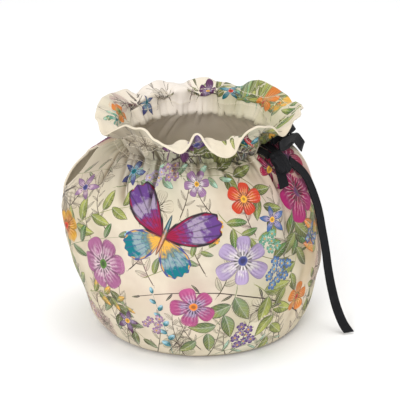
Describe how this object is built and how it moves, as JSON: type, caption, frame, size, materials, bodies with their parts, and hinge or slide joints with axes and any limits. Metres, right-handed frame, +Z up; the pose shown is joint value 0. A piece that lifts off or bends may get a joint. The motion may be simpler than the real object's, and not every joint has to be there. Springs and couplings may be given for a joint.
{
  "type": "tea cosy",
  "caption": "Fitted cloth cover for a round teapot, gathered by a drawstring ribbon below a fluted frill, with seams left open for the spout and the handle.",
  "frame": {"origin": "centre of the cosy's width and depth, ribbon left out, on the surface it stands on", "axes": "+Z up, -X to the spout seam, +X to the handle seam, and -Y to the front"},
  "size_m": [0.2331, 0.1942, 0.1857],
  "materials": {
    "cream_print_cotton": "matte woven cotton with a watercolour flower print",
    "black_ribbon": "woven ribbon with a soft sheen"
  },
  "bodies": {
    "root": {"front_panel": "cream_print_cotton", "back_panel": "cream_print_cotton", "knot": "black_ribbon", "loop_side": "black_ribbon", "loop_upper": "black_ribbon", "tail_long": "black_ribbon", "tail_short": "black_ribbon", "drawstring_end_front": "black_ribbon", "drawstring_end_side": "black_ribbon"}
  },
  "joints": []
}
